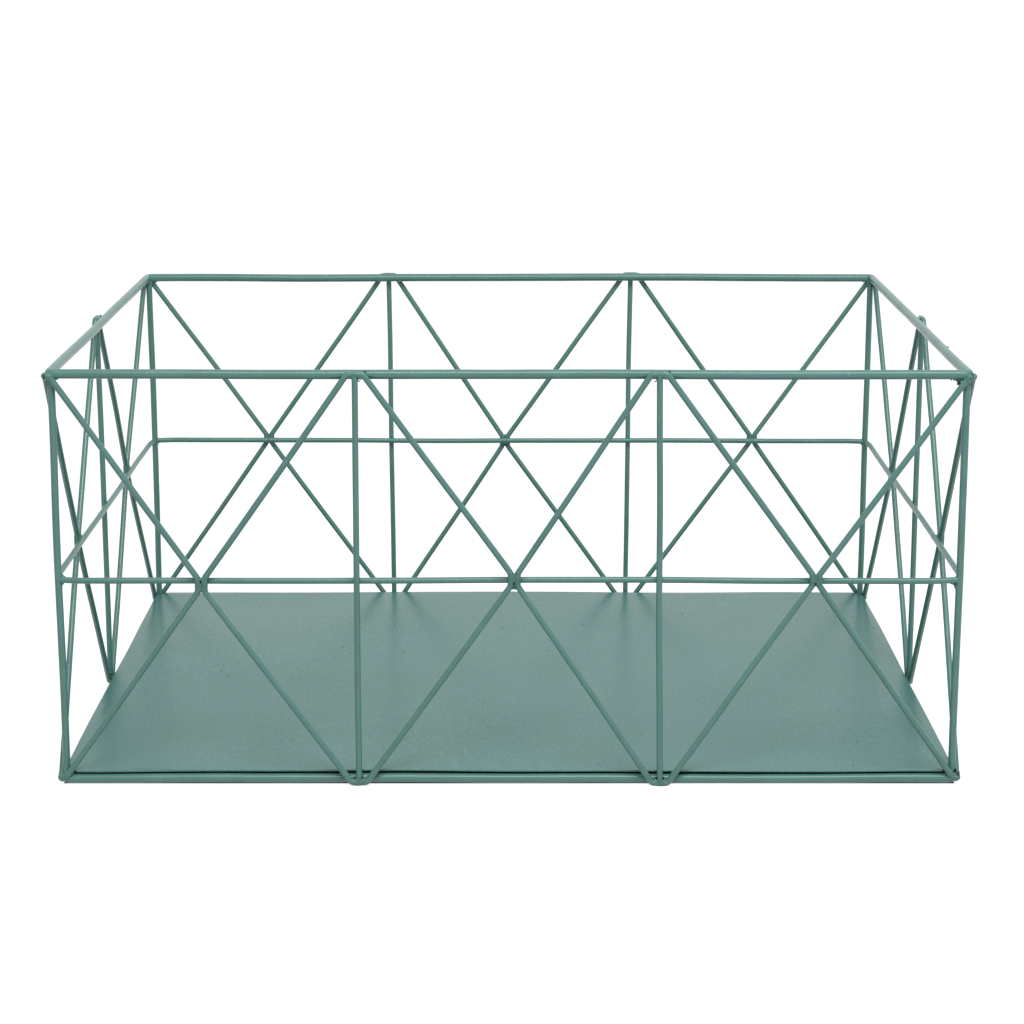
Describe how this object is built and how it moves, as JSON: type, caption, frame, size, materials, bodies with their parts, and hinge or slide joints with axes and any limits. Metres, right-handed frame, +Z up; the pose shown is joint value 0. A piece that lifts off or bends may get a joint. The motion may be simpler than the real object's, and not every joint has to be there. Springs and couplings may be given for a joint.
{
  "type": "rectangular wire basket",
  "caption": "Open rectangular storage basket of welded, painted steel wire: crossed loops between a rim and a base hoop, with posts, mid rails and a flat sheet floor.",
  "frame": {"origin": "middle of the footprint, on the surface that the basket stands on", "axes": "+X along the long walls to the right, +Y from the front wall to the back wall, +Z up"},
  "size_m": [0.4, 0.27, 0.185],
  "materials": {
    "wire_paint": "satin",
    "sheet_paint": "satin"
  },
  "bodies": {
    "root": {"top_rim": "wire_paint", "bottom_hoop": "wire_paint", "floor_panel": "sheet_paint", "front_rail": "wire_paint", "right_rail": "wire_paint", "back_rail": "wire_paint", "left_rail": "wire_paint", "front_right_post": "wire_paint", "back_right_post": "wire_paint", "back_left_post": "wire_paint", "front_left_post": "wire_paint", "front_upright_1": "wire_paint", "front_upright_2": "wire_paint", "back_upright_1": "wire_paint", "back_upright_2": "wire_paint", "left_upright_1": "wire_paint", "right_upright_1": "wire_paint", "front_loop_1": "wire_paint", "front_loop_2": "wire_paint", "back_loop_1": "wire_paint", "back_loop_2": "wire_paint", "left_loop_1": "wire_paint", "right_loop_1": "wire_paint", "front_right_corner_loop": "wire_paint", "back_right_corner_loop": "wire_paint", "back_left_corner_loop": "wire_paint", "front_left_corner_loop": "wire_paint"}
  },
  "joints": []
}
